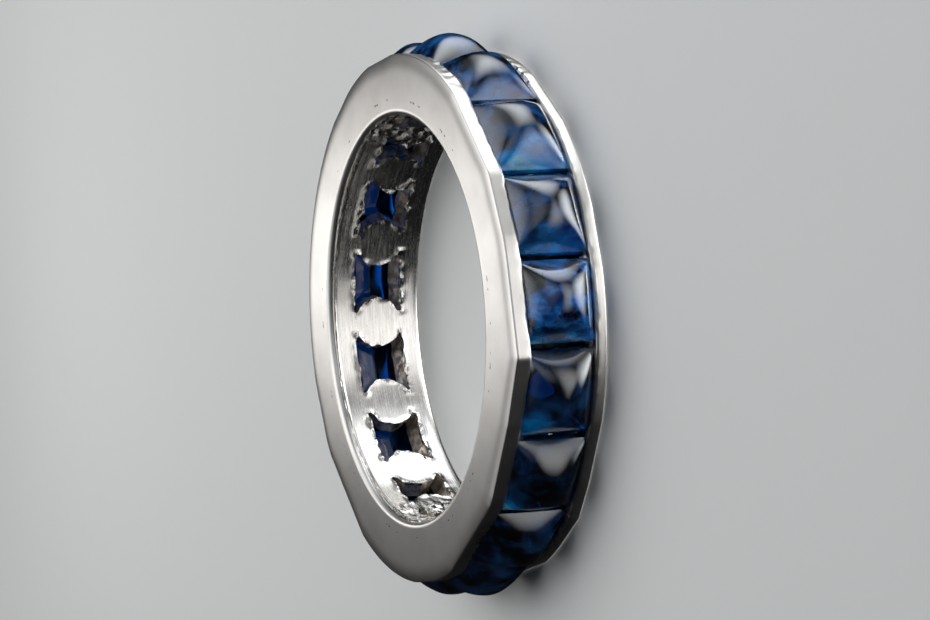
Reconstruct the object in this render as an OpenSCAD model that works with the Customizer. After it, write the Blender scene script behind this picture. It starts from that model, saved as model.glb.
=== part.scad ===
// Eternity ring, lying on its side. Two side plates and a pierced sleeve, soldered into one
// channel, hold a full circle of sugarloaf stones. The ring's axis is Z. The far side plate
// rests on the plane z = 0 and the near one faces up. Angles run from +X, which passes through
// the middle of the first stone, towards +Y.

/* [Finger hole] */
// Diameter of the finger hole
bore_d = 17; // [15:0.1:19]

/* [Channel] */
// Width of the band, from the face of one side plate to the face of the other
band_w = 4.25; // [3.9:0.05:5]
// Thickness of the near side plate at its rim
near_rim_t = 0.66; // [0.55:0.01:0.8]
// Thickness of the far side plate at its rim
far_rim_t = 0.5; // [0.4:0.01:0.65]
// Thickness of the sleeve between the finger hole and the hollow below the stones
sleeve_t = 0.68; // [0.5:0.01:0.72]
// Width of the ledge that each side plate gives below the girdles
ledge_w = 0.2; // [0.12:0.01:0.26]
// Depth of the groove in each side plate that grips the girdles
groove_d = 0.09; // [0.07:0.01:0.12]
// Height of the rims above the girdles' corners, where the file left them untouched
rim_rise = 0.5; // [0.45:0.01:0.7]

/* [Windows] */
// Width of the windows, across the band
window_w = 2.25; // [1.8:0.05:2.6]
// Distance of the windows from the middle of the band, towards the far side
window_shift = 0.2; // [0:0.01:0.3]
// Diameter of the round pads between the windows
pad_d = 2.1; // [1.7:0.05:2.3]
// Width of the necks that join each pad to the side plates
neck_w = 0.8; // [0.5:0.05:1.2]

/* [Stones] */
// Height of the girdles' corners above the finger hole
girdle_h = 2.06; // [1.9:0.01:2.3]
// Thickness of the girdle
girdle_t = 0.12; // [0.08:0.01:0.16]
// Height of the crown above the girdle
crown_h = 1.5; // [1:0.01:1.7]
// How far the crown's arcs bulge out of a straight line
crown_bulge = 0.2; // [0.1:0.01:0.26]
// Gap between the keel of the longest stones and the sleeve
keel_gap = 0.07; // [0.04:0.01:0.3]
// Length of the keel at the bottom of the pavilion
keel_l = 1.2; // [0.6:0.05:2]
// Gap between neighbouring stones
stone_gap = 0.12; // [0.06:0.01:0.2]
// Clearance between a stone and the metal
fit_gap = 0.035; // [0.02:0.005:0.05]

/* [Hidden] */
$fn = 96;

// The stones' lengths as shares of the circle, clockwise from the stone on +X. They were cut by
// hand, and the four on the side away from it are the longest.
LENGTHS = [
    19, 20, 20, 20.5, 20.5, 20.5, 21,
    24.5, 24.5, 24, 24.5,
    20, 19.5, 19.5, 20, 21.5, 19.5
];

// File cuts on the two rims: the angle of each cut's middle, and its depth as a share of rim_rise
NEAR_CUTS = [
    [41, 0.45], [21, 0.16], [-35, 0.26], [-60, 0.6], [-89, 0.1],
    [-138, 0.52], [-161, 0.16], [121, 0.1], [95, 0.16]
];
FAR_CUTS = [
    [13, 0.16], [-23, 0.2], [-81, 0.3], [-121, 0.2], [-171, 0.2], [139, 0.26], [51, 0.26]
];

// Corners that two long file cuts leave standing: the corner's angle, and its height above the
// rim as a share of rim_rise
NEAR_CORNERS = [[-11, 1.04]];
FAR_CORNERS = [[-51, 0.36]];

// A rim's outline starts on the highest corner and has a point at each step of angle. No cut
// reaches further than CUT_REACH from its middle.
RIM_START = -11;
RIM_STEP = 5;
CUT_REACH = 45;

count = len(LENGTHS);
bore_r = bore_d / 2;
sleeve_r = bore_r + sleeve_t;
corner_r = bore_r + girdle_h;
rim_r = corner_r + rim_rise;
outside_r = rim_r * 1.5;

// The channel's opening lies between the two rims
open_half = (band_w - near_rim_t - far_rim_t) / 2;
channel_z = far_rim_t + open_half;
groove_half = open_half + groove_d;
stone_half = groove_half - fit_gap;
ledge_half = stone_half - ledge_w;
window_z = band_w / 2 - window_shift;

function total(list, n) = n == 0 ? 0 : list[n - 1] + total(list, n - 1);
function pitch(i) = 360 * LENGTHS[i] / total(LENGTHS, count);
function turned(i) = 360 * total(LENGTHS, i) / total(LENGTHS, count);
function joint(i) = pitch(0) / 2 - turned(i);
function middle(i) = joint(i) - pitch(i) / 2;

// Each stone's girdle is flat, and its corners reach the same radius as its neighbours'
function girdle_r(i) = corner_r * cos(pitch(i) / 2);
function crown_r(i) = girdle_r(i) + girdle_t / 2;
function pavilion_r(i) = girdle_r(i) - girdle_t / 2;
function end_at(i, r) = r * tan(pitch(i) / 2) - stone_gap / 2 / cos(pitch(i) / 2);
lowest_girdle_r = min([for (i = [0 : count - 1]) girdle_r(i)]);

// All the pavilions have one depth, which brings the longest stones' keels down to the sleeve
pavilion_d = lowest_girdle_r - girdle_t / 2 - sleeve_r - keel_gap;

// A crown's arc rises from the girdle's edge, half a width from the middle, to the peak. Its
// centre lies beyond the middle, and below the girdle.
function chord(half) = norm([half, crown_h]);
function arc_r(half) = (pow(chord(half), 2) / 4 + pow(crown_bulge, 2)) / (2 * crown_bulge);
function arc_reach(half) = (arc_r(half) - crown_bulge) / chord(half);
function arc_x(half) = half / 2 - arc_reach(half) * crown_h;
function arc_y(half) = crown_h / 2 - arc_reach(half) * half;

// Height above the girdle where the crown is narrow enough to pass between the rims
lip_y = arc_y(stone_half) + sqrt(pow(arc_r(stone_half), 2)
    - pow(open_half - fit_gap - arc_x(stone_half), 2));

pavilion_slope = pavilion_d / stone_half;
seat_drop = fit_gap * norm([1, pavilion_slope]);

function digits(n) = n < 10 ? str("0", n) : str(n);
function stone_name(i) = str("stone_", digits(i + 1));

// Radius of a rim at an angle: each cut is a flat, and each corner is the point where two flats
// that touch the rim meet
function away(a, b) = abs((a - b + 540) % 360 - 180);
function flat_r(a, cut) = away(a, cut[0]) > CUT_REACH ? outside_r
    : (rim_r - cut[1] * rim_rise) / cos(away(a, cut[0]));
function corner_span(top) = acos(rim_r / (rim_r + top[1] * rim_rise));
function raised_r(a, top) = away(a, top[0]) > corner_span(top) ? rim_r
    : rim_r / cos(corner_span(top) - away(a, top[0]));
function rim_at(a, cuts, corners) = min(concat(
    [max([for (top = corners) raised_r(a, top)])],
    [for (cut = cuts) flat_r(a, cut)]));

// One side plate with its half of the band below it, still a full disc
module plate(z, height, cuts, corners)
    translate([0, 0, z])
    linear_extrude(height)
    polygon([
        for (a = [RIM_START : RIM_STEP : RIM_START + 360 - RIM_STEP])
            rim_at(a, cuts, corners) * [cos(a), sin(a)]
    ]);

// A ring of metal to take away, between two radii, on both sides of the channel's middle
module turned_groove(from_r, to_r, half)
    translate([0, 0, channel_z])
    rotate_extrude()
    translate([from_r, -half])
    square([to_r - from_r, 2 * half]);

// Places a stone's own frame in the ring: X along the ring, Y outwards, Z across the band
module at_stone(i, z)
    translate([0, 0, z])
    rotate(middle(i) - 90)
    children();

// The bearing cut into both side plates for one stone: a flat groove over a sloping seat. It runs
// past the joints, so that neighbouring bearings open into each other.
module bearing(i) {
    length = 2 * (crown_r(i) + lip_y) * tan(pitch(i) / 2) + stone_gap;
    seat_r = pavilion_r(i) - seat_drop;
    at_stone(i, channel_z)
    rotate([0, -90, 0])
    linear_extrude(length, center = true)
    polygon([
        [-ledge_half, seat_r - ledge_w * pavilion_slope],
        [-groove_half, seat_r + fit_gap * pavilion_slope],
        [-groove_half, crown_r(i) + lip_y],
        [groove_half, crown_r(i) + lip_y],
        [groove_half, seat_r + fit_gap * pavilion_slope],
        [ledge_half, seat_r - ledge_w * pavilion_slope]
    ]);
}

// A round pad below the joint where stone i begins
module pad(i)
    translate([0, 0, window_z])
    rotate(joint(i))
    rotate([0, 90, 0])
    cylinder(d = pad_d, h = outside_r);

// The window below one stone: a slot between two pads, which bite into its ends
module window(i) {
    half_length = bore_r * sin(pitch(i) / 2) - neck_w / 2;
    slot_from = bore_r - sleeve_t;
    slot_to = sleeve_r + keel_gap / 2;
    difference() {
        at_stone(i, window_z)
        translate([-half_length, slot_from, -window_w / 2])
        cube([2 * half_length, slot_to - slot_from, window_w]);
        pad(i);
        pad(i + 1);
    }
}

// Both side plates and the sleeve, soldered into one piece
module channel_band()
    color("silver")
    difference() {
        union() {
            plate(0, channel_z, FAR_CUTS, FAR_CORNERS);
            plate(channel_z, band_w - channel_z, NEAR_CUTS, NEAR_CORNERS);
        }
        translate([0, 0, -band_w]) cylinder(r = bore_r, h = 3 * band_w);
        turned_groove(sleeve_r, outside_r, ledge_half);
        turned_groove(lowest_girdle_r, outside_r, open_half);
        for (i = [0 : count - 1]) {
            bearing(i);
            window(i);
        }
    }

// One of the two arcs of a crown's arch, as a long roller that lies across the profile
module crown_arc(half, reach)
    translate([arc_x(half), arc_y(half), -reach])
    cylinder(r = arc_r(half), h = 2 * reach);

// A pointed arch of two arcs over the girdle, along Z
module crown_arch(half, reach)
    intersection() {
        crown_arc(half, reach);
        mirror([1, 0, 0]) crown_arc(half, reach);
    }

// One sugarloaf stone: two arches crossed, over a thin girdle and a pavilion with a keel
module stone(i) {
    end_half = end_at(i, crown_r(i));
    above = crown_h + girdle_t;
    reach = 2 * end_half + band_w;
    color("midnightblue")
    at_stone(i, channel_z)
    intersection() {
        translate([0, crown_r(i), 0]) crown_arch(end_half, reach);
        translate([0, crown_r(i), 0]) rotate([0, 90, 0]) crown_arch(stone_half, reach);
        // Ends: they lean with the joints, and the pavilion runs in to the keel
        linear_extrude(2 * reach, center = true)
        polygon([
            [-end_at(i, crown_r(i) + above), crown_r(i) + above],
            [-end_at(i, pavilion_r(i)), pavilion_r(i)],
            [-keel_l / 2, pavilion_r(i) - pavilion_d],
            [keel_l / 2, pavilion_r(i) - pavilion_d],
            [end_at(i, pavilion_r(i)), pavilion_r(i)],
            [end_at(i, crown_r(i) + above), crown_r(i) + above]
        ]);
        // Sides: upright at the girdle, then in to the keel
        rotate([0, -90, 0])
        linear_extrude(2 * reach, center = true)
        polygon([
            [-stone_half, crown_r(i) + above],
            [-stone_half, pavilion_r(i)],
            [0, pavilion_r(i) - pavilion_d],
            [stone_half, pavilion_r(i)],
            [stone_half, crown_r(i) + above]
        ]);
    }
}

channel_band();
for (i = [0 : count - 1]) stone(i);
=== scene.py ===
"""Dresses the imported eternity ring: white gold channel band and seventeen sapphire sugarloafs.

Sizes are in millimetres while a piece is modelled and in metres in the finished mesh. The ring
lies on its side on the floor, its axis is Z, and the near side plate faces up.
"""
import functools
import logging
import math
from collections.abc import Callable, Iterable
from dataclasses import dataclass, field
from enum import Enum, auto

import bmesh
import bpy
from mathutils import Matrix, Vector, noise

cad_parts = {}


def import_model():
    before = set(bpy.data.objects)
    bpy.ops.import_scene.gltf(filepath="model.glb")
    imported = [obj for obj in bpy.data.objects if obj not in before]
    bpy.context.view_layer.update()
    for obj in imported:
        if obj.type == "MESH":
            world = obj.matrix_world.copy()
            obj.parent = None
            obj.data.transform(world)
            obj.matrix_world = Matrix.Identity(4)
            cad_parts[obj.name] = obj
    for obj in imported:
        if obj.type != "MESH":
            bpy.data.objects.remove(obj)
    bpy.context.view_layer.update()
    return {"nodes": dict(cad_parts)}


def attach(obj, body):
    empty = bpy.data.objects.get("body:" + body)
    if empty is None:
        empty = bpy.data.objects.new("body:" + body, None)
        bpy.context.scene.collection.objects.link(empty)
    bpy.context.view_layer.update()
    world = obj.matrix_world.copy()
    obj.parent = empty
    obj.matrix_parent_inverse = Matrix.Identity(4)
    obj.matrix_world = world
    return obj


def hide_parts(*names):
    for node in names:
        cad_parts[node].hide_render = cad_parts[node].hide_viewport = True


Colour = tuple[float, float, float, float]
Fade = tuple[float, float]
Place = tuple[float, float, float]
Object = bpy.types.Object
Material = bpy.types.Material
Socket = bpy.types.NodeSocket
Mesh = bmesh.types.BMesh
Vert = bmesh.types.BMVert

MM = 0.001
BODY = "root"

# The band's driving dimensions in millimetres, as in the part's source
BORE_R = 8.5
SLEEVE_R = 9.18
RIM_R = 11.06
BAND_W = 4.25

# Lengths in millimetres: what counts as the same place, and how near vertices are welded
TOUCH = 0.01
WELD = 0.0005

log = logging.getLogger("eternity_ring")


def smoothstep(low: float, high: float, value: float) -> float:
    """Blends smoothly from 0, at low and below, to 1 at high and above."""
    t = min(max((value - low) / (high - low), 0.0), 1.0)
    return t * t * (3.0 - 2.0 * t)


def soft_min(a: float, b: float, radius: float) -> float:
    """The smaller of two heights, with the crease between them rounded."""
    return 0.5 * (a + b - math.hypot(a - b, radius))


def crowd(share: float) -> float:
    """Moves a share from -1 to 1 nearer to its end, so that a grid is finer at its edges."""
    return share * (1.5 - 0.5 * share * share)


def ripple(place: Vector, pitch: float, seed: float = 0.0) -> float:
    """Smooth noise from about -1 to 1, the same on every run, with bumps a pitch apart."""
    return noise.noise(place / pitch + Vector((seed, -seed, 0.37 * seed)))


def turned(a: float, b: float) -> float:
    """Angle from direction b on to direction a in degrees, from -180 to 180."""
    return (a - b + 540.0) % 360.0 - 180.0


def apart(a: float, b: float) -> float:
    """Angle between two directions in degrees, from 0 to 180."""
    return abs(turned(a, b))


def angle_of(place: Vector) -> float:
    """Angle of a point round the ring's axis in degrees."""
    return math.degrees(math.atan2(place.y, place.x))


def radius_of(place: Vector) -> float:
    """Distance of a point from the ring's axis."""
    return math.hypot(place.x, place.y)


def at_radius(place: Vector, radius: float) -> Vector:
    """The point moved straight in or out to a radius."""
    scale = radius / radius_of(place)
    return Vector((place.x * scale, place.y * scale, place.z))


def make_piece(name: str, bm: Mesh, nodes: Iterable[str],
               material: Material, sharp: float) -> Object:
    """Turns a finished bmesh in millimetres into a piece of the ring.

    Args:
        name: Its name.
        bm: Its mesh, which is freed.
        nodes: CAD nodes that the piece stands for.
        material: Its finish.
        sharp: Edges with a larger angle than this, in degrees, stay sharp.

    Returns:
        The new object.
    """
    bmesh.ops.scale(bm, vec=Vector((MM, MM, MM)), verts=bm.verts)
    mesh = bpy.data.meshes.new(name)
    bm.to_mesh(mesh)
    bm.free()
    mesh.shade_smooth()
    mesh.set_sharp_from_angle(angle=math.radians(sharp))
    mesh.materials.append(material)
    piece = bpy.data.objects.new(name, mesh)
    bpy.context.scene.collection.objects.link(piece)
    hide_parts(*nodes)
    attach(piece, BODY)
    return piece


class Shader:
    """A material's node tree, built one node at a time."""

    def __init__(self, name: str) -> None:
        """Starts a material that has a Principled surface.

        Args:
            name: Name of the material.
        """
        self.material = bpy.data.materials.new(name)
        self.material.use_nodes = True
        self.tree = self.material.node_tree
        self.surface = self.tree.nodes["Principled BSDF"]
        self.output = self.tree.nodes["Material Output"]
        self.place = self.add("TexCoord").outputs["Object"]

    def add(self, kind: str, inputs: dict[str | int, object] | None = None,
            **settings: object) -> bpy.types.Node:
        """Adds a node.

        Args:
            kind: Blender's name of its type, without ShaderNode.
            inputs: For each socket, by name or number, its value or the output to link.
            settings: Properties of the node.

        Returns:
            The new node.
        """
        node = self.tree.nodes.new("ShaderNode" + kind)
        for key, value in settings.items():
            setattr(node, key, value)
        for key, value in (inputs or {}).items():
            self.feed(node, key, value)
        return node

    def feed(self, node: bpy.types.Node, key: str | int, value: object) -> None:
        """Gives a socket its value, or links an output to it.

        Args:
            node: Node with the socket.
            key: The socket's name or number.
            value: A value, or an output socket.
        """
        if isinstance(value, Socket):
            self.tree.links.new(value, node.inputs[key])
        else:
            node.inputs[key].default_value = value

    def complete(self, inputs: dict[str, object]) -> Material:
        """Finishes the surface.

        Args:
            inputs: For each of its sockets, by name, its value or the output to link.

        Returns:
            The material.
        """
        for key, value in inputs.items():
            self.feed(self.surface, key, value)
        return self.material

    def attribute(self, name: str) -> Socket:
        """The value of one of the piece's own attributes."""
        return self.add("Attribute", attribute_name=name).outputs["Fac"]

    def math(self, operation: str, *values: object) -> Socket:
        """A Math node's result, held between 0 and 1 where the operation's name ends in C."""
        node = self.add("Math", dict(enumerate(values)),
                        operation=operation.removesuffix("_C"),
                        use_clamp=operation.endswith("_C"))
        return node.outputs[0]

    def times(self, *values: object) -> Socket:
        """The product of numbers and outputs."""
        return functools.reduce(functools.partial(self.math, "MULTIPLY"), values)

    def plus(self, *values: object) -> Socket:
        """The sum of numbers and outputs."""
        return functools.reduce(functools.partial(self.math, "ADD"), values)

    def band(self, value: object, low: float, high: float) -> Socket:
        """Goes smoothly from 0 at low to 1 at high and no further. Low may be the larger."""
        node = self.add("MapRange", {0: value, 1: low, 2: high}, interpolation_type="SMOOTHSTEP")
        return node.outputs[0]

    def fades(self, length: object, *limits: Fade) -> Socket:
        """Masks a length in metres by fades, whose limits are in millimetres."""
        return self.times(*(self.band(length, low * MM, high * MM) for low, high in limits))

    def noise(self, pitch: float, stretch: Place = (1, 1, 1), detail: float = 3.0,
              roughness: float = 0.5) -> Socket:
        """Noise in the piece's own space.

        Args:
            pitch: Size of its bumps in millimetres.
            stretch: How many times longer they are along each axis.
            detail: Number of finer layers.
            roughness: Strength of the finer layers.

        Returns:
            The factor output.
        """
        scale = [1.0 / (pitch * MM * s) for s in stretch]
        mapped = self.add("Mapping", {0: self.place, 3: scale})
        node = self.add("TexNoise", {0: mapped.outputs[0], "Scale": 1.0,
                                     "Detail": detail, "Roughness": roughness})
        return node.outputs[0]

    def blend(self, factor: object, a: object, b: object) -> Socket:
        """Mixes two colours by a factor."""
        node = self.add("Mix", {0: factor, 6: a, 7: b}, data_type="RGBA")
        return node.outputs[2]

    def bump(self, height: object, depth: float, strength: object,
             under: object | None = None) -> Socket:
        """Shading relief.

        Args:
            height: Output that gives the height from 0 to 1.
            depth: Real height of the relief in millimetres.
            strength: How much of it shows.
            under: Normal of an earlier relief.

        Returns:
            The normal output.
        """
        node = self.add("Bump", {"Height": height, "Distance": depth * MM,
                                 "Strength": strength})
        if under is not None:
            self.feed(node, "Normal", under)
        return node.outputs[0]


@dataclass(frozen=True)
class WhiteGold:
    """Worn white gold: satin side plates, brushed bore, filed rims, porous at the solder.

    A place on the band is given by its fades, as in Shader.fades.
    """

    colour: Colour = (0.87, 0.84, 0.8, 1.0)
    dull: Colour = (0.4, 0.36, 0.32, 1.0)
    tarnish: Colour = (0.42, 0.32, 0.23, 1.0)
    oxide: Colour = (0.03, 0.028, 0.026, 1.0)
    plate_z: Fade = (BAND_W - 0.2, BAND_W - 0.1)
    bore_r: Fade = (BORE_R + 0.12, BORE_R + 0.04)
    wall_r: tuple[Fade, Fade] = ((BORE_R + 0.03, BORE_R + 0.16), (10.4, 9.6))
    wall_z: Fade = (3.9, 3.6)
    channel_r: tuple[Fade, Fade] = ((SLEEVE_R - 0.05, SLEEVE_R), (10.74, 10.66))
    channel_z: tuple[Fade, Fade] = ((0.44, 0.54), (3.65, 3.56))
    rim_r: Fade = (10.6, 10.8)
    rim_z: Fade = (4.13, 4.1)
    solder_r: tuple[Fade, Fade] = ((SLEEVE_R - 0.07, SLEEVE_R), (SLEEVE_R + 0.07, SLEEVE_R))
    pit_pitch: float = 0.26
    # Reach of a pit away from the solder line, and how much more it has on the line
    pit_reach: tuple[float, float] = (0.06, 0.38)

    def material(self) -> Material:
        """Builds the finish.

        Returns:
            The material.
        """
        s = GoldShader(self)
        return s.complete({"Metallic": 1.0, "Base Color": s.tint(), "Roughness": s.gloss(),
                           "Normal": s.relief()})


class GoldShader(Shader):
    """White gold's node tree, with a mask for each part of the band."""

    def __init__(self, look: WhiteGold) -> None:
        """Masks the parts of the band.

        Args:
            look: The finish.
        """
        super().__init__("white_gold_finish")
        self.look = look
        x, y, z = self.add("SeparateXYZ", {0: self.place}).outputs
        radius = self.math("SQRT", self.plus(self.times(x, x), self.times(y, y)))
        self.plate = self.fades(z, look.plate_z)
        self.bore = self.fades(radius, look.bore_r)
        self.walls = self.times(self.fades(radius, *look.wall_r), self.fades(z, look.wall_z))
        self.channel = self.times(self.fades(radius, *look.channel_r),
                                  self.fades(z, *look.channel_z))
        self.rims = self.times(self.fades(radius, look.rim_r), self.fades(z, look.rim_z))
        self.solder = self.fades(radius, *look.solder_r)
        self.molten = self.attribute("molten")
        self.grain = self.noise(0.12, detail=5.0, roughness=0.65)
        self.pits = self.scatter()

    def scatter(self) -> Socket:
        """Scatters casting pits over the near plate, most of them along the solder line.

        Returns:
            An output that is 1 inside a pit.
        """
        cells = self.add("TexVoronoi", {0: self.place, "Scale": 1.0 / (self.look.pit_pitch * MM)})
        usual, more = self.look.pit_reach
        rare = self.times(self.solder, self.band(self.noise(0.9), 0.42, 0.62))
        reach = self.plus(self.times(rare, more), usual)
        inside = self.band(self.math("SUBTRACT", reach, cells.outputs[0]), 0.0, 0.08)
        return self.times(self.plate, inside)

    def tint(self) -> Socket:
        """Colours the metal: a faint cloudiness, tarnished windows, oxide in channel and pits.

        Returns:
            The colour output.
        """
        look = self.look
        cloud = self.band(self.noise(1.6, detail=4.0), 0.35, 0.75)
        grime = self.times(self.walls, self.band(self.noise(0.35), 0.35, 0.7))
        tint = self.blend(self.times(cloud, 0.18), look.colour, look.dull)
        tint = self.blend(grime, tint, look.tarnish)
        tint = self.blend(self.times(self.channel, 0.85), tint, look.oxide)
        return self.blend(self.times(self.pits, 0.8), tint, look.oxide)

    def gloss(self) -> Socket:
        """Sets the gloss: satin plates, filed rims, streaks in the bore, smooth where it melted.

        Returns:
            The roughness output.
        """
        streaks = self.band(self.noise(0.09, (14, 14, 1), detail=4.0), 0.3, 0.8)
        return self.plus(0.16, self.times(self.grain, 0.1), self.times(self.plate, 0.12),
                         self.times(self.rims, 0.14), self.times(self.walls, 0.25),
                         self.times(self.bore, streaks, 0.12), self.times(self.molten, -0.08))

    def relief(self) -> Socket:
        """Adds the brush marks round the bore, the satin grain, the melted crust and the pits.

        Returns:
            The normal output.
        """
        brushed = self.noise(0.045, (60, 60, 1), detail=2.0)
        uneven = self.noise(0.4, (5, 5, 1))
        crust = self.noise(0.2, roughness=0.55)
        relief = self.bump(brushed, 0.006, self.math("SUBTRACT", 0.7, self.times(self.plate, 0.6)))
        relief = self.bump(uneven, 0.01, self.times(self.bore, 0.6), relief)
        relief = self.bump(self.grain, 0.003, 0.35, relief)
        relief = self.bump(crust, 0.05, self.times(self.molten, 0.7), relief)
        return self.bump(self.math("SUBTRACT", 1.0, self.pits), 0.05, 1.0, relief)


@dataclass(frozen=True)
class Sapphire:
    """Deep blue sapphire with faint silk and zones of painted glow, which stand in for light
    gathered inside it.

    The stones' own attributes say where the zones lie and how much silk a stone has.
    """

    absorbed: Colour = (0.01, 0.58, 0.69, 1.0)
    density: float = 2800.0
    silk: Colour = (0.03, 0.3, 0.95, 1.0)
    # Painted glow: the blue that stands in for light gathered inside a stone, and the lighter blue
    # of a painted highlight at its brightest places
    painted_glow_blue: Colour = (0.0, 0.38, 1.0, 1.0)
    painted_glint_blue: Colour = (0.14, 0.6, 1.0, 1.0)
    ior: float = 1.77
    coat_weight: float = 0.6
    coat_ior: float = 1.8
    coat_roughness: float = 0.2

    def material(self) -> Material:
        """Builds the finish.

        Returns:
            The material.
        """
        s = Shader("sapphire_polish")
        # Painted light: a blue glow zone, lighter where strongest, stands in for light gathered
        # inside
        zone = s.attribute("painted_glow_zone")
        veil = s.noise(0.9, (1, 1, 1.6), detail=7.0, roughness=0.62)
        haze = s.times(s.band(veil, 0.42, 0.72), s.attribute("silk_share"))
        painted_glow = s.times(zone, s.plus(0.3, s.times(s.band(veil, 0.3, 0.7), 0.6)))
        painted_glow_tint = s.blend(s.band(zone, 0.86, 1.0), self.painted_glow_blue, self.painted_glint_blue)
        tint = s.blend(s.math("MULTIPLY_C", painted_glow, 2.0), self.silk, painted_glow_tint)
        fine = s.noise(0.7, (1, 1, 2), detail=6.0, roughness=0.6)
        # Silk and the painted glow make the stone matt there, so that their colour shows
        silk_and_painted_glow = s.math("ADD_C", haze, painted_glow)
        body = s.add("VolumeAbsorption", {"Color": self.absorbed, "Density": self.density})
        s.feed(s.output, "Volume", body.outputs[0])
        return s.complete({
            "Base Color": tint, "Transmission Weight": s.math("SUBTRACT", 1.0, silk_and_painted_glow),
            "IOR": self.ior, "Coat Weight": self.coat_weight, "Coat IOR": self.coat_ior,
            "Coat Roughness": self.coat_roughness, "Roughness": s.plus(0.02, s.times(fine, 0.08)),
            "Normal": s.bump(s.noise(0.5), 0.004, 0.4)})


@dataclass(frozen=True)
class PaleFloor:
    """Matt pale paper that the ring lies on."""

    colour: Colour = (0.72, 0.72, 0.71, 1.0)
    shade: Colour = (0.6, 0.6, 0.58, 1.0)
    roughness: float = 0.7

    def material(self) -> Material:
        """Builds the finish.

        Returns:
            The material.
        """
        s = Shader("pale_paper")
        tooth = s.times(s.noise(3.0, detail=5.0), 0.05)
        return s.complete({"Base Color": s.blend(tooth, self.colour, self.shade),
                           "Roughness": self.roughness,
                           "Normal": s.bump(s.noise(0.6), 0.02, 0.2)})


@dataclass
class Seat:
    """Where one stone sits, measured on its CAD node. Lengths in millimetres.

    Low, high, peak and keel are distances from the ring's axis: the girdle's two edges, the top
    of the crown and the bottom of the pavilion.
    """

    name: str
    angle: float
    half_length: float
    half_width: float
    low: float
    high: float
    peak: float
    keel: float
    keel_half: float
    middle_z: float

    @classmethod
    def measure(cls, name: str, node: Object) -> "Seat":
        """Measures a stone's CAD node.

        Args:
            name: Name of the node.
            node: The node's object.

        Returns:
            The stone's place and sizes.
        """
        points = [v.co / MM for v in node.data.vertices]
        heights = [p.z for p in points]
        middle_z = (min(heights) + max(heights)) / 2
        # The peak lies furthest out, in the middle of the stone's width
        angle = angle_of(max(points, key=lambda p: radius_of(p) - 0.5 * abs(p.z - middle_z)))
        upright = Matrix.Rotation(math.radians(90.0 - angle), 3, "Z")
        local = [upright @ p for p in points]
        half_length = max(abs(p.x) for p in local)
        half_width = (max(heights) - min(heights)) / 2
        girdle = [p.y for p in local if abs(p.z - middle_z) > half_width - TOUCH]
        keel = min(p.y for p in local)
        return cls(name, angle, half_length, half_width, min(girdle), max(girdle),
                   max(p.y for p in local), keel,
                   max(abs(p.x) for p in local if p.y < keel + TOUCH), middle_z)

    @property
    def span(self) -> float:
        """Half the angle that the stone's girdle covers, in degrees."""
        return math.degrees(math.atan2(self.half_length, self.high))

    def spread(self, angle: float) -> float:
        """How much further out a flat seat lies at an angle than at the stone's middle."""
        return 1.0 / math.cos(math.radians(apart(angle, self.angle)))


@dataclass(frozen=True)
class Glow:
    """The painted glow at one end of a stone, which stands in for light gathered inside it, and
    the stone's share of silk.

    A larger start keeps the zone nearer to the end, and a larger lean to the near side plate.
    """

    strength: float = 0.2
    start: float = 0.8
    lean: float = 0.0
    silk: float = 0.14


# The stones whose painted glow or silk differ from the others'
GLOWS = {
    "stone_14": Glow(0.1, silk=0.35),
    "stone_15": Glow(0.15, silk=0.35),
    "stone_16": Glow(1.0, 0.5, silk=0.25),
    "stone_17": Glow(0.8, 0.65, silk=0.25),
    "stone_01": Glow(1.0, 0.75, 0.15, 0.9),
    "stone_02": Glow(1.0, 1.0, 1.0, 0.12),
    "stone_03": Glow(1.0, 1.0, 1.0, 0.1),
}


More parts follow.
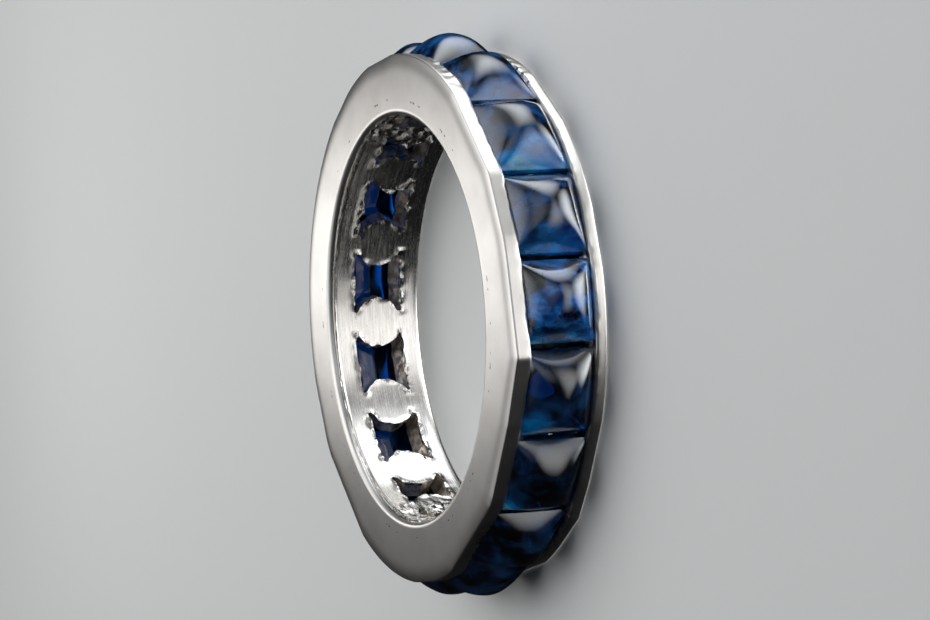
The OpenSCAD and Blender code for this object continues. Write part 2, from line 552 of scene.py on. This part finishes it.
@dataclass
class Sugarloaf:
    """One stone: a cushioned four-sided crown, a thin girdle and a pavilion with a keel.

    Lengths in millimetres. In the stone's own space X runs along the ring, Y outwards from the
    ring's axis and Z across the band.
    """

    seat: Seat
    index: int
    glow: Glow = Glow()
    bulge: float = 0.29
    # Rounding of the crown's ridges, of its peak and of the keel
    ridge: float = 0.2
    tip: float = 0.12
    keel_edge: float = 0.04
    # Height of the unevenness, and the share of the plan's edge that it leaves smooth
    waver: float = 0.045
    even_edge: float = 0.3
    # Share of the worn dome in the crown, and the dome's fullness along and across the ring
    pillow: float = 0.42
    fullness: tuple[float, float] = (2.8, 2.3)
    worn_end: float = 0.045
    # How far the painted glow's border bows, wavers and fades, as shares of half the length
    bow: float = 0.3
    border_waver: float = 0.3
    fade: float = 0.8
    cells: int = 48
    sharp: float = 30.0

    def arch(self, across: float, half: float) -> float:
        """Height of the crown's profile above the girdle.

        Args:
            across: Distance from the middle.
            half: Half the width at the girdle.

        Returns:
            The height.
        """
        rise = self.seat.peak - self.seat.high
        chord = math.hypot(half, rise)
        radius = (chord * chord / 4 + self.bulge ** 2) / (2 * self.bulge)
        reach = (radius - self.bulge) / chord
        centre_x = half / 2 - reach * rise
        centre_y = rise / 2 - reach * half
        out = math.hypot(across, self.tip) - self.tip * abs(across) / half
        return centre_y + math.sqrt(max(radius ** 2 - (out - centre_x) ** 2, 0.0))

    def crown_height(self, x: float, z: float) -> float:
        """Height of the crown above the girdle.

        Args:
            x: Place along the ring.
            z: Place across the band.

        Returns:
            The height.
        """
        seat = self.seat
        rim = soft_min(self.arch(x, seat.half_length), self.arch(z, seat.half_width), self.ridge)
        edge = (1 - (x / seat.half_length) ** 2) * (1 - (z / seat.half_width) ** 2)
        inner = smoothstep(0.0, self.even_edge, edge)
        wave = ripple(Vector((x, z, 0)), 1.3, 3.1 + self.index) * self.waver
        faced = rim + self.ridge * 0.5 * (1 - edge * inner)
        domed = (seat.peak - seat.high) * math.prod(
            1 - abs(share) ** power for share, power in
            zip((x / seat.half_length, z / seat.half_width), self.fullness))
        return faced + (domed - faced) * self.pillow + wave * inner

    def pavilion_depth(self, x: float, z: float) -> float:
        """Depth of the pavilion below the girdle.

        Args:
            x: Place along the ring.
            z: Place across the band.

        Returns:
            The depth.
        """
        seat = self.seat
        full = seat.low - seat.keel
        side = (seat.half_width - abs(z)) / seat.half_width
        end = (seat.half_length - abs(x)) / (seat.half_length - seat.keel_half)
        return full * max(soft_min(side, min(end, 1.0), self.keel_edge), 0.0)

    def pale(self, place: Vector) -> float:
        """Strength of the painted glow, which stands in for light gathered inside the stone.

        Args:
            place: Point in the stone's own space.

        Returns:
            The strength, 0 outside the zone and below the crown.
        """
        if place.y < self.seat.high:
            return 0.0
        along, across = place.x / self.seat.half_length, place.z / self.seat.half_width
        level = along + self.bow * (1 - across * across) + self.glow.lean * across
        level += self.border_waver * ripple(place, 0.7, self.index)
        start = self.glow.start
        return self.glow.strength * smoothstep(start, start + self.fade, level)

    def half_shell(self, bm: Mesh,
                   height: Callable[[float, float], float]) -> list[bmesh.types.BMEdge]:
        """Adds the crown or the pavilion as one bent grid.

        Args:
            bm: Mesh to add to.
            height: Gives a point's distance from the ring's axis, from its place in the plan.

        Returns:
            The grid's border edges.
        """
        seat = self.seat
        made = bmesh.ops.create_grid(bm, x_segments=self.cells, y_segments=self.cells, size=1.0)
        for vert in made["verts"]:
            x = crowd(vert.co.x) * seat.half_length
            z = crowd(vert.co.y) * seat.half_width
            vert.co = Vector((x * (1 - self.worn_end / seat.half_length), height(x, z), z))
        return [e for v in made["verts"] for e in v.link_edges if e.is_boundary]

    def build(self, material: Material) -> Object:
        """Makes the stone in its place on the ring.

        Args:
            material: The polish.

        Returns:
            The stone.
        """
        seat = self.seat
        bm = bmesh.new()
        borders = self.half_shell(bm, lambda x, z: seat.high + self.crown_height(x, z))
        borders += self.half_shell(bm, lambda x, z: seat.low - self.pavilion_depth(x, z))
        bmesh.ops.bridge_loops(bm, edges=list(set(borders)))
        bmesh.ops.remove_doubles(bm, verts=bm.verts, dist=WELD)
        bmesh.ops.recalc_face_normals(bm, faces=bm.faces)
        # Painted light: each vertex keeps the strength of the painted glow, and its stone's silk
        zone = bm.verts.layers.float.new("painted_glow_zone")
        share = bm.verts.layers.float.new("silk_share")
        for vert in bm.verts:
            vert[zone] = self.pale(vert.co)
            vert[share] = self.glow.silk
        place = Matrix.Translation((0, 0, seat.middle_z)) @ Matrix.Rotation(
            math.radians(seat.angle - 90.0), 4, "Z")
        bmesh.ops.transform(bm, matrix=place, verts=bm.verts)
        return make_piece(f"sugarloaf_{self.index + 1:02d}", bm, [seat.name],
                          material, self.sharp)


class Anchor(Enum):
    """What a row of the band's profile keeps its distance from."""

    BORE = auto()
    SLEEVE = auto()
    LEDGE = auto()
    SEAT = auto()
    LIP = auto()
    RIM = auto()


@dataclass(frozen=True)
class Row:
    """One line of the band's profile: an anchor, the height, and the distance out from it."""

    anchor: Anchor
    z: float
    out: float = 0.0


# The band is spun at these radii first, and each row is then fitted to the stones and the rims
SPUN_R = {Anchor.BORE: BORE_R, Anchor.SLEEVE: SLEEVE_R, Anchor.LEDGE: 9.9, Anchor.SEAT: 10.2,
          Anchor.LIP: 10.6, Anchor.RIM: RIM_R}

# Rows of the profile, as the distance out from the anchor and the height. The seam between the
# near plate and the sleeve is an open groove in the bore.
SEAM_Z = 3.93
BORE_BELOW = ((0.1, 0.0), (0.03, 0.03), (0.0, 0.1), (0.0, 0.35), (0.0, 0.6))
BORE_ABOVE = (
    (0.0, 3.2), (0.0, 3.35), (0.0, 3.5), (0.0, 3.65), (0.0, 3.78), (0.0, 3.86), (-0.01, 3.885),
    (0.08, SEAM_Z), (0.0, 3.975), (0.0, 4.01), (0.01, 4.06), (0.04, 4.13), (0.09, 4.19),
    (0.16, 4.235), (0.24, BAND_W), (0.3, BAND_W),
)
# The plate rolls off to a rounded edge, and the lip is rubbed in over the stones
NEAR_RIM = (
    (-0.8, BAND_W), (-0.6, 4.247), (-0.43, 4.238), (-0.29, 4.221), (-0.18, 4.199), (-0.1, 4.176),
    (-0.045, 4.155), (-0.012, 4.138), (0.0, 4.11), (0.0, 4.05), (0.0, 3.95), (0.0, 3.8),
    (0.0, 3.64), (-0.01, 3.58), (-0.035, 3.53), (-0.08, 3.5), (-0.15, 3.49),
)
FAR_RIM = (
    (-0.17, 0.5), (-0.1, 0.49), (-0.04, 0.46), (-0.01, 0.41), (0.0, 0.36), (0.0, 0.2),
    (0.0, 0.08), (-0.01, 0.04), (-0.04, 0.01), (-0.08, 0.0),
)


@dataclass(frozen=True)
class Rim:
    """Outline of one side plate: a circle with flats that a file left, and raised corners.

    A cut or corner is given by its angle in degrees and its depth or height, as a share of rise.
    """

    cuts: tuple[tuple[float, float], ...]
    corners: tuple[tuple[float, float], ...]
    radius: float = RIM_R
    rise: float = 0.5
    reach: float = 45.0

    def at(self, angle: float) -> float:
        """Radius of the outline at an angle.

        Args:
            angle: Angle round the ring in degrees.

        Returns:
            The radius in millimetres.
        """
        raised = self.radius
        for middle, share in self.corners:
            span = math.degrees(math.acos(self.radius / (self.radius + share * self.rise)))
            if apart(angle, middle) < span:
                lean = math.radians(span - apart(angle, middle))
                raised = max(raised, self.radius / math.cos(lean))
        flats = [(self.radius - share * self.rise) / math.cos(math.radians(apart(angle, middle)))
                 for middle, share in self.cuts if apart(angle, middle) < self.reach]
        return min([raised, *flats])


@dataclass
class ChannelBand:
    """The soldered channel: two side plates on a sleeve that is pierced below each stone.

    Lengths in millimetres, angles in degrees.
    """

    seats: list[Seat]
    # The two side plates' thickness, and how the groove and the ledge step back from the channel
    far_rim_t: float = 0.5
    near_rim_t: float = 0.66
    groove_d: float = 0.09
    ledge_in: float = 0.145
    # How far the lip lies above a girdle, and the seat and the ledge below it
    lip_rise: float = 0.125
    seat_drop: float = 0.02
    ledge_drop: float = 0.17
    window_z: float = 1.925
    window_w: float = 2.25
    pad_r: float = 1.05
    neck_w: float = 0.8
    # How much the windows narrow towards the stones, on the far and on the near side
    taper: tuple[float, float] = (0.33, 0.12)
    near: Rim = Rim(((41, .45), (21, .16), (-35, .26), (-60, .6), (-89, .1), (-138, .52),
                     (-161, .16), (121, .1), (95, .16)), ((-11, 1.04),))
    far: Rim = Rim(((13, .16), (-34, .2), (-81, .3), (-121, .2), (-171, .2), (139, .26),
                    (51, .26)), ((-51, .36),))
    # Where heat left the metal lumpy: angle, half the angle it covers, and how high
    melted: tuple[tuple[float, float, float], ...] = (
        (98, 20, 0.14), (-96, 22, 0.14), (68, 16, 0.11), (-60, 12, 0.14))
    # Where it left the windows ragged: the middle's angle, and half the angle it covers
    torn: tuple[float, float] = (130.0, 34.0)
    # Height of the burrs round sound windows, and how much higher they are round ragged ones
    burr_high: tuple[float, float] = (0.045, 0.06)
    # Unevenness of the windows' walls, of the bore, of the seam out and up, and of the rims' edges
    wall_wave: float = 0.05
    bore_wave: float = 0.012
    seam_wave: tuple[float, float] = (0.07, 0.025)
    edge_wave: float = 0.03
    # The grid: steps round, sectors that the spin repeats, the windows' rows and their margin
    steps: int = 640
    sectors: int = 16
    row_gap: float = 0.075
    margin: float = 0.08
    tenths: int = 3600
    sharp: float = 50.0
    rows: list[Row] = field(init=False)
    joints: list[float] = field(init=False)
    over: list[Seat] = field(init=False)

    def __post_init__(self) -> None:
        """Works out the profile, the joints between stones and the stone over each angle."""
        self.rows = self.profile()
        ends = [(s.angle + s.span, s.angle - s.span) for s in self.seats]
        self.joints = [high + turned(low, high) / 2
                       for (high, _), (_, low) in zip(ends, ends[-1:] + ends[:-1])]
        self.over = [min(self.seats, key=lambda s: apart(tenth / 10.0, s.angle) / s.span)
                     for tenth in range(self.tenths)]

    @property
    def step(self) -> float:
        """Angle between two neighbouring columns of the grid in degrees."""
        return 360.0 / self.steps

    def sides(self, inset: float) -> tuple[float, float]:
        """Heights of a step in the channel's far and near side, set in from its opening."""
        return self.far_rim_t + inset, BAND_W - self.near_rim_t - inset

    def zone(self) -> list[float]:
        """Places the rows that the windows are cut from.

        Returns:
            Their heights from the far side to the near one.
        """
        width = self.window_w + 2 * self.margin
        low = self.window_z - self.window_w / 2 - self.margin
        count = round(width / self.row_gap)
        return [low + width * k / count for k in range(count + 1)]

    def profile(self) -> list[Row]:
        """The band's section, from the far edge of the bore and on round.

        Returns:
            The rows in order.
        """
        far_lip, near_lip = self.sides(0.0)
        far_groove, near_groove = self.sides(-self.groove_d)
        far_ledge, near_ledge = self.sides(self.ledge_in)
        zone = self.zone()
        bore = [*BORE_BELOW, *((0.0, z) for z in zone), *BORE_ABOVE]
        rows = [Row(Anchor.BORE, z, out) for out, z in bore]
        rows += [Row(Anchor.SLEEVE, BAND_W)]
        rows += [Row(Anchor.RIM, z, out) for out, z in NEAR_RIM]
        rows += [Row(Anchor.LIP, near_lip), Row(Anchor.LIP, near_groove),
                 Row(Anchor.SEAT, near_groove), Row(Anchor.LEDGE, near_ledge)]
        rows += [Row(Anchor.SLEEVE, z) for z in (near_ledge, 3.25, *reversed(zone))]
        rows += [Row(Anchor.SLEEVE, far_ledge), Row(Anchor.LEDGE, far_ledge),
                 Row(Anchor.SEAT, far_groove), Row(Anchor.LIP, far_groove),
                 Row(Anchor.LIP, far_lip)]
        rows += [Row(Anchor.RIM, z, out) for out, z in FAR_RIM]
        rows += [Row(Anchor.LIP, 0.0, -0.4), Row(Anchor.SLEEVE, 0.0)]
        return rows

    def seat_at(self, angle: float) -> Seat:
        """The stone that lies over an angle."""
        return self.over[int(angle % 360.0 * 10.0) % self.tenths]

    def radius(self, row: Row, angle: float) -> float:
        """Radius of a row at an angle, on the fitted band.

        Args:
            row: The row.
            angle: Angle round the ring.

        Returns:
            The radius in millimetres.
        """
        seat = self.seat_at(angle)
        rim = self.near if row.z > BAND_W / 2 else self.far
        base = {Anchor.BORE: BORE_R, Anchor.SLEEVE: SLEEVE_R,
                Anchor.LEDGE: (seat.low - self.ledge_drop) * seat.spread(angle),
                Anchor.SEAT: (seat.low - self.seat_drop) * seat.spread(angle),
                Anchor.LIP: (seat.high + self.lip_rise) * seat.spread(angle),
                Anchor.RIM: rim.at(angle)}
        return base[row.anchor] + row.out

    def lump(self, angle: float) -> float:
        """Height of the melted metal at an angle, 0 where the metal is sound."""
        return max(high * (1 - smoothstep(0.55 * half, half, apart(angle, middle)))
                   for middle, half, high in self.melted)

    def ragged(self, angle: float) -> float:
        """Share of raggedness of the windows at an angle, where the torch came too close."""
        middle, half = self.torn
        return 1 - smoothstep(0.6 * half, half, apart(angle, middle))

    def burr(self, place: Vector) -> float:
        """Height of the lip of molten metal round the windows, near a point."""
        high = self.burr_high[0] + self.burr_high[1] * self.ragged(angle_of(place))
        return high * max(0.5 + 1.6 * ripple(place, 0.4, 17.0), 0.0)

    def opening(self, angle: float, z: float) -> float:
        """How far a point of the sleeve lies inside a window.

        Args:
            angle: Angle round the ring.
            z: Height.

        Returns:
            Distance to the window's edge in millimetres, below 0 in the metal.
        """
        def along(other: float) -> float:
            """Distance from the point to another angle, along the band."""
            return BORE_R * math.sin(math.radians(min(apart(angle, other), 90.0)))

        seat = self.seat_at(angle)
        half = BORE_R * math.sin(math.radians(seat.span)) - self.neck_w / 2
        pads = min(math.hypot(along(j), z - self.window_z) for j in self.joints)
        return min(half - along(seat.angle), self.window_w / 2 - abs(z - self.window_z),
                   pads - self.pad_r)

    def trimmed(self, found: set[tuple[int, int]], rows: int) -> set[tuple[int, int]]:
        """Smooths the windows' outlines, and joins open cells that only share a corner.

        Args:
            found: The open cells, as their column and row.
            rows: Number of rows in the grid.

        Returns:
            The open cells that are left and added.
        """
        beside = ((1, 0), (-1, 0), (0, 1), (0, -1))
        grid = [(c, r) for c in range(self.steps) for r in range(1, rows - 1)]
        for _ in range(4):
            near = {(c, r): sum(((c + i) % self.steps, r + j) in found for i, j in beside)
                    for c, r in grid}
            found = {cell for cell in grid
                     if near[cell] >= 3 or (cell in found and near[cell] >= 2)}
        for col, row in sorted(found):
            for i, j in ((1, 1), (1, -1)):
                across = ((col + i) % self.steps, row + j)
                between = (((col + i) % self.steps, row), (col, row + j))
                if across in found and not any(cell in found for cell in between):
                    found.add(between[0])
        return found

    def cells(self) -> set[tuple[int, int]]:
        """Finds the cells of the sleeve's grid that the windows open.

        Returns:
            The cells, as their column and row.
        """
        zone = self.zone()
        found = set()
        for col in range(self.steps):
            angle = (col + 0.5) * self.step
            for row, (low, high) in enumerate(zip(zone, zone[1:])):
                z = (low + high) / 2
                place = Matrix.Rotation(math.radians(angle), 3, "Z") @ Vector((BORE_R, 0, z))
                jag = 0.09 * ripple(place, 0.5) + 0.07 * ripple(place, 0.17, 7.0)
                jag += self.ragged(angle) * 0.2 * ripple(place, 0.42, 21.0)
                if self.opening(angle, z) > 0.03 + jag - 0.3 * self.lump(angle):
                    found.add((col, row))
        return self.trimmed(found, len(zone) - 1)

    def turn(self) -> Mesh:
        """Spins the profile into a closed band and fits each row.

        Returns:
            The mesh in millimetres.
        """
        bm = bmesh.new()
        bm.verts.layers.float.new("molten")
        layer = bm.verts.layers.int.new("row")
        verts = [bm.verts.new((SPUN_R[row.anchor] + row.out, 0, row.z)) for row in self.rows]
        for number, vert in enumerate(verts):
            vert[layer] = number
        edges = [bm.edges.new((a, b)) for a, b in zip(verts, verts[1:] + verts[:1])]
        sector = math.tau / self.sectors
        bmesh.ops.spin(bm, geom=verts + edges, cent=(0, 0, 0), axis=(0, 0, 1),
                       angle=sector, steps=self.steps // self.sectors)
        bmesh.ops.spin(bm, geom=bm.verts[:] + bm.edges[:] + bm.faces[:], cent=(0, 0, 0),
                       axis=(0, 0, 1), angle=math.tau - sector, steps=self.sectors - 1,
                       use_duplicate=True)
        bmesh.ops.remove_doubles(bm, verts=bm.verts, dist=WELD)
        for vert in bm.verts:
            row = self.rows[vert[layer]]
            vert.co = at_radius(vert.co, self.radius(row, angle_of(vert.co)))
        return bm

    def cut(self, bm: Mesh) -> None:
        """Takes the windows' cells out of the sleeve's inside and outside.

        Args:
            bm: The spun band.
        """
        zone = self.zone()
        cells = self.cells()
        doomed = []
        for face in bm.faces:
            centre = face.calc_center_median()
            if radius_of(centre) > SLEEVE_R + TOUCH or not zone[0] < centre.z < zone[-1]:
                continue
            col = int((angle_of(centre) % 360.0) / self.step)
            row = next(k for k, top in enumerate(zone[1:]) if centre.z < top)
            if (col, row) in cells:
                doomed.append(face)
        bmesh.ops.delete(bm, geom=doomed, context="FACES")

    def ease(self, outline: set[Vert]) -> None:
        """Smooths the steps of the windows' outlines, and narrows the outer ones.

        Args:
            outline: Vertices of the outlines, before the walls join them.
        """
        for _ in range(3):
            eased = {vert: sum((edge.other_vert(vert).co for edge in vert.link_edges
                                if edge.is_boundary), Vector()) / 2 for vert in outline}
            for vert, middle in eased.items():
                vert.co = vert.co.lerp(middle, 0.5)
        for vert in outline:
            if radius_of(vert.co) > (BORE_R + SLEEVE_R) / 2:
                off = (vert.co.z - self.window_z) / (self.window_w / 2)
                vert.co.z -= off * (self.taper[0] if off < 0 else self.taper[1])

    def pierce(self, bm: Mesh) -> list[Vert]:
        """Cuts the windows through the sleeve and gives them walls.

        Args:
            bm: The spun band.

        Returns:
            The vertices of the walls.
        """
        self.cut(bm)
        loops: dict[int, list[bmesh.types.BMEdge]] = {}
        for edge in bm.edges:
            if edge.is_boundary:
                middle = (edge.verts[0].co + edge.verts[1].co) / 2
                loops.setdefault(self.seats.index(self.seat_at(angle_of(middle))), []).append(edge)
        outline = {vert for loop in loops.values() for edge in loop for vert in edge.verts}
        self.ease(outline)
        across = set()
        for number in sorted(loops):
            made = bmesh.ops.bridge_loops(bm, edges=loops[number])
            across.update(edge for face in made["faces"] for edge in face.edges
                          if len(outline.intersection(edge.verts)) == 2
                          and abs(radius_of(edge.verts[0].co) - radius_of(edge.verts[1].co))
                          > (SLEEVE_R - BORE_R) / 2)
        bmesh.ops.subdivide_edges(bm, edges=list(across), cuts=3, use_grid_fill=True)
        zone = self.zone()
        return [vert for vert in bm.verts if vert in outline
                or BORE_R + TOUCH < radius_of(vert.co) < SLEEVE_R - TOUCH
                and zone[0] < vert.co.z < zone[-1]]

    def roughen(self, bm: Mesh, walls: list[Vert]) -> None:
        """Rounds and roughens the windows' walls, and raises burrs at their inner edges.

        Args:
            bm: The pierced band.
            walls: Vertices of the windows' walls.
        """
        for _ in range(4):
            bmesh.ops.smooth_vert(bm, verts=walls, factor=0.5, use_axis_x=True,
                                  use_axis_y=True, use_axis_z=True)
        for vert in walls:
            push = Vector([ripple(vert.co, 0.22, seed) for seed in (1.0, 5.0, 9.0)])
            vert.co += self.wall_wave * push
            if radius_of(vert.co) < BORE_R + 0.08:
                vert.co = at_radius(vert.co, BORE_R - self.burr(vert.co))

    def wear(self, bm: Mesh, walls: list[Vert]) -> None:
        """Melts the bore and the windows' walls, and wears the seam and the rims.

        Args:
            bm: The pierced band.
            walls: Vertices of the windows' walls.
        """
        layer = bm.verts.layers.int["row"]
        molten = bm.verts.layers.float["molten"]
        inner = set(walls)
        for vert in bm.verts:
            row = self.rows[vert[layer]]
            angle, out, move = angle_of(vert.co), radius_of(vert.co), 0.0
            if vert in inner or row.anchor is Anchor.BORE and row.z < 4.1:
                lump = self.lump(angle) * smoothstep(0.3, 0.9, row.z)
                move += lump * (ripple(vert.co, 0.45, 2.0) + 0.5 * ripple(vert.co, 0.2, 4.0))
                move += self.bore_wave * ripple(vert.co, 0.9, 6.0)
                beside = smoothstep(-0.2, 0.02, self.opening(angle, vert.co.z))
                if vert not in inner:
                    move -= self.burr(vert.co) * beside
                fused = 1.0 if vert in inner else beside
                vert[molten] = max(fused, smoothstep(0.0, 0.05, lump))
            if row.anchor is Anchor.BORE and abs(row.z - SEAM_Z) < TOUCH:
                move += self.seam_wave[0] * ripple(vert.co, 0.32, 8.0)
                vert.co.z += self.seam_wave[1] * ripple(vert.co, 0.3, 11.0)
                vert[molten] = max(vert[molten], 0.8)
            if row.anchor is Anchor.RIM and 0.15 < row.z < 4.0:
                # The edge that is rubbed over the stones is worn most
                edge = row.out < -0.005 and 0.4 < row.z < 3.72
                worn = self.edge_wave * edge + self.lump(angle) * (0.6 if edge else 0.35)
                vert[molten] = smoothstep(0.02, 0.06, worn)
                move += worn * ripple(vert.co, 0.3, 13.0)
                vert.co.z += worn * 0.7 * ripple(vert.co, 0.35, 15.0)
            vert.co = at_radius(vert.co, out + move)

    def build(self, material: Material) -> Object:
        """Makes the band.

        Args:
            material: The metal's finish.

        Returns:
            The band.
        """
        bm = self.turn()
        walls = self.pierce(bm)
        self.roughen(bm, walls)
        self.wear(bm, walls)
        bmesh.ops.recalc_face_normals(bm, faces=bm.faces)
        return make_piece("pierced_channel_band", bm, ["channel_band"],
                          material, self.sharp)


class Reach(Enum):
    """Which surfaces a light acts on."""

    ALL = auto()
    MATT = auto()
    POLISHED = auto()


@dataclass(frozen=True)
class SoftBox:
    """A square or oblong studio light that looks at the ring. Lengths in millimetres.

    It is brightest in the middle and fades towards its border. The fade's limits are distances
    from the middle, as shares of its side, and core is the strength in the middle.
    """

    name: str
    place: Place
    size: tuple[float, float]
    power: float
    colour: tuple[float, float, float] = (1.0, 1.0, 1.0)
    reach: Reach = Reach.ALL
    fade_from: float = 0.05
    fade_to: float = 0.62
    core: float = 2.0

    def soften(self, tree: bpy.types.NodeTree) -> None:
        """Makes the light fade towards its border.

        Args:
            tree: The light's node tree.
        """
        across = tree.nodes.new("ShaderNodeNewGeometry").outputs["Parametric"]
        off = tree.nodes.new("ShaderNodeVectorMath")
        off.operation = "DISTANCE"
        off.inputs[1].default_value = (0.5, 0.5, 0.0)
        fade = tree.nodes.new("ShaderNodeMapRange")
        fade.interpolation_type = "SMOOTHSTEP"
        for key, value in enumerate((self.fade_to, self.fade_from, 0.0, self.core), start=1):
            fade.inputs[key].default_value = value
        tree.links.new(across, off.inputs[0])
        tree.links.new(off.outputs["Value"], fade.inputs[0])
        tree.links.new(fade.outputs[0], tree.nodes["Emission"].inputs["Strength"])

    def build(self) -> Object:
        """Hangs the light.

        Returns:
            The light's object.
        """
        data = bpy.data.lights.new(self.name, "AREA")
        data.shape = "RECTANGLE"
        data.size, data.size_y = (side * MM for side in self.size)
        data.energy = self.power
        data.color = self.colour
        data.use_nodes = True
        self.soften(data.node_tree)
        lamp = bpy.data.objects.new(self.name, data)
        lamp.visible_glossy = self.reach is not Reach.MATT
        lamp.visible_diffuse = self.reach is not Reach.POLISHED
        lamp.location = Vector(self.place) * MM
        lamp.rotation_euler = (-lamp.location).to_track_quat("-Z", "Y").to_euler()
        bpy.context.scene.collection.objects.link(lamp)
        return lamp


@dataclass(frozen=True)
class Studio:
    """The floor, the lights and the camera. Places are in millimetres.

    In the photo the ring stands free, with light from all round it. Here it lies on a floor that
    is not mirrored and casts no shadow, so some of the boxes hang below the floor's level. The
    overhead box lights only what is matt, and a dimmer sheet below it shows in what is polished.
    """

    eye: Place = (156.472, -5.593, 68.352)
    aim: Place = (-0.492, 0.253, 1.172)
    image_up: Place = (0.05776, 0.99717, -0.04818)
    lens: float = 156.67
    sensor: float = 36.0
    clip: tuple[float, float] = (10.0, 10000.0)
    floor_half: float = 1500.0
    floor_z: float = -0.02
    room_colour: Colour = (0.9, 0.93, 1.0, 1.0)
    room_strength: float = 0.007
    lights: tuple[SoftBox, ...] = (
        SoftBox("top_box", (9, 118, -20), (180, 130), 0.12, (0.93, 0.97, 1.0)),
        SoftBox("front_box", (111, 17, -47), (176, 76), 0.031),
        SoftBox("plate_box", (-66, 6.5, 38), (24, 24), 0.0023),
        SoftBox("low_plate_box", (-66, 6, 24), (18, 18), 0.0008),
        SoftBox("overhead_box", (-60, 80, 240), (460, 460), 0.8, (0.98, 0.99, 1.0), Reach.MATT),
        SoftBox("overhead_sheet", (-60, 80, 237), (460, 460), 0.48, (0.98, 0.99, 1.0),
                Reach.POLISHED),
        SoftBox("left_card", (45, 8, 120), (120, 120), 0.009, (0.8, 0.9, 1.0)),
        SoftBox("fill_box", (150, 75, 80), (240, 240), 0.05, (0.88, 0.95, 1.0)),
        SoftBox("far_box", (46, 36, -116), (150, 150), 0.16, (0.93, 0.97, 1.0)),
        SoftBox("left_sheet", (-14, 160, 66), (200, 140), 0.022, (0.8, 0.9, 1.0)),
    )

    def lay_floor(self) -> None:
        """Lays the floor just below the ring."""
        bm = bmesh.new()
        bmesh.ops.create_grid(bm, x_segments=1, y_segments=1, size=self.floor_half * MM,
                              matrix=Matrix.Translation((0, 0, self.floor_z * MM)))
        mesh = bpy.data.meshes.new("studio_floor")
        bm.to_mesh(mesh)
        bm.free()
        mesh.materials.append(PaleFloor().material())
        floor = bpy.data.objects.new("studio_floor", mesh)
        bpy.context.scene.collection.objects.link(floor)
        floor.visible_glossy = False
        floor.visible_shadow = False

    def light_room(self) -> None:
        """Gives the room its faint light."""
        world = bpy.data.worlds.new("studio_room")
        world.use_nodes = True
        sky = world.node_tree.nodes["Background"].inputs
        sky["Color"].default_value = self.room_colour
        sky["Strength"].default_value = self.room_strength
        bpy.context.scene.world = world

    def set_camera(self) -> None:
        """Places the camera at the photo's angle to the ring."""
        scene = bpy.context.scene
        data = bpy.data.cameras.new("photo_camera")
        data.sensor_width = self.sensor
        data.lens = self.lens
        data.clip_start, data.clip_end = (distance * MM for distance in self.clip)
        camera = bpy.data.objects.new("photo_camera", data)
        forward = (Vector(self.aim) - Vector(self.eye)).normalized()
        right = forward.cross(Vector(self.image_up)).normalized()
        turn = Matrix((right, right.cross(forward), -forward)).transposed()
        camera.matrix_world = Matrix.Translation(Vector(self.eye) * MM) @ turn.to_4x4()
        scene.collection.objects.link(camera)
        scene.camera = camera
        scene.view_settings.view_transform = "Standard"

    def build(self) -> None:
        """Sets up the floor, the lights, the room and the camera."""
        self.lay_floor()
        for light in self.lights:
            light.build()
        self.light_room()
        self.set_camera()


def main() -> None:
    """Builds the studio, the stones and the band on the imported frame."""
    logging.basicConfig(level=logging.INFO, format="%(name)s: %(message)s")
    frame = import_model()
    Studio().build()
    names = sorted(name for name in frame["nodes"] if name.startswith("stone_"))
    seats = [Seat.measure(name, frame["nodes"][name]) for name in names]
    polish = Sapphire().material()
    for index, seat in enumerate(seats):
        stone = Sugarloaf(seat, index, GLOWS.get(seat.name, Glow())).build(polish)
        log.info("%s at %.1f degrees, %d faces", stone.name, seat.angle,
                 len(stone.data.polygons))
    band = ChannelBand(seats).build(WhiteGold().material())
    log.info("%s, %d faces", band.name, len(band.data.polygons))


if __name__ == "__main__":
    main()
